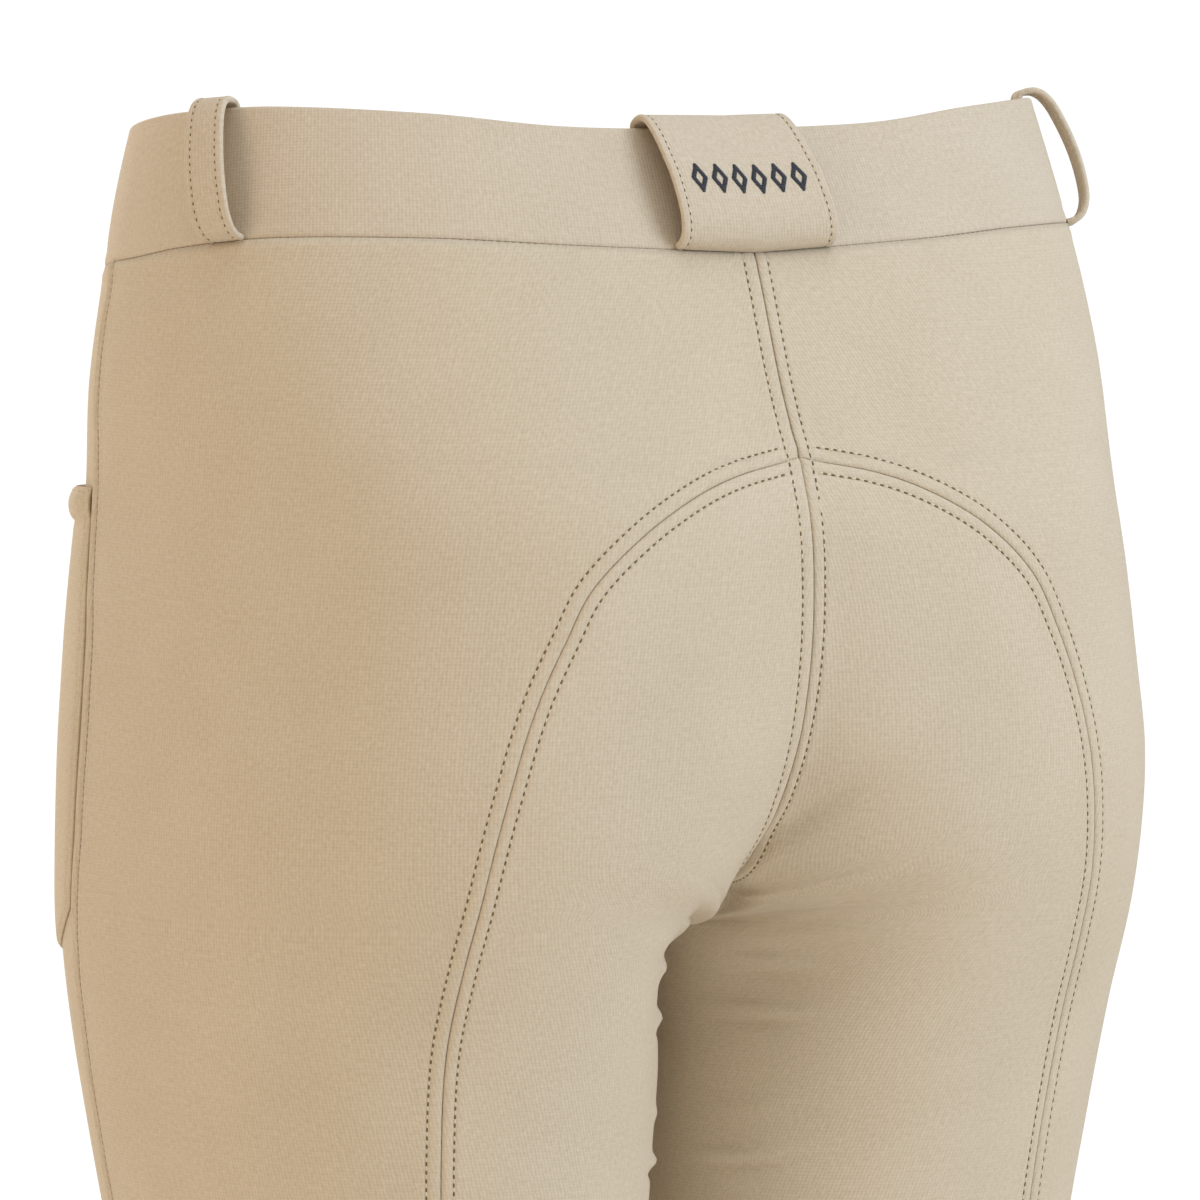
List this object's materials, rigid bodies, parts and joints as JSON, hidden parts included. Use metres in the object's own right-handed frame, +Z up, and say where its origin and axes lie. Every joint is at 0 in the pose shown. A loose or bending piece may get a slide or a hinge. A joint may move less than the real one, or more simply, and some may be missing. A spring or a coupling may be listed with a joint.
{
  "type": "riding breeches",
  "caption": "Beige stretch riding breeches as worn, hollow, with a full seat let into the back legs, belt loops, a thigh pocket and a fly.",
  "frame": {"origin": "middle of the waist opening at the height of the waist seam, where the wearer's waist holds the garment up", "axes": "+Z up, +Y towards the wearer's back, +X towards the wearer's left"},
  "size_m": [0.3313, 0.2316, 0.9178],
  "materials": {
    "cloth": "matte stretch twill",
    "seat_cloth": "matte brushed twill",
    "band_cloth": "matte stretch twill, doubled",
    "tape": "matte woven tape",
    "button": "satin"
  },
  "bodies": {
    "root": {"waistband": "band_cloth", "loop_back_wide": "band_cloth", "loop_side_left": "band_cloth", "loop_side_right": "band_cloth", "loop_front_left": "band_cloth", "loop_front_right": "band_cloth", "back_left": "cloth", "back_right": "cloth", "seat_left": "seat_cloth", "seat_right": "seat_cloth", "front_left": "cloth", "front_right": "cloth", "phone_pocket": "cloth", "fly_facing": "cloth", "zip_tape": "tape", "waist_button": "button"}
  },
  "joints": []
}
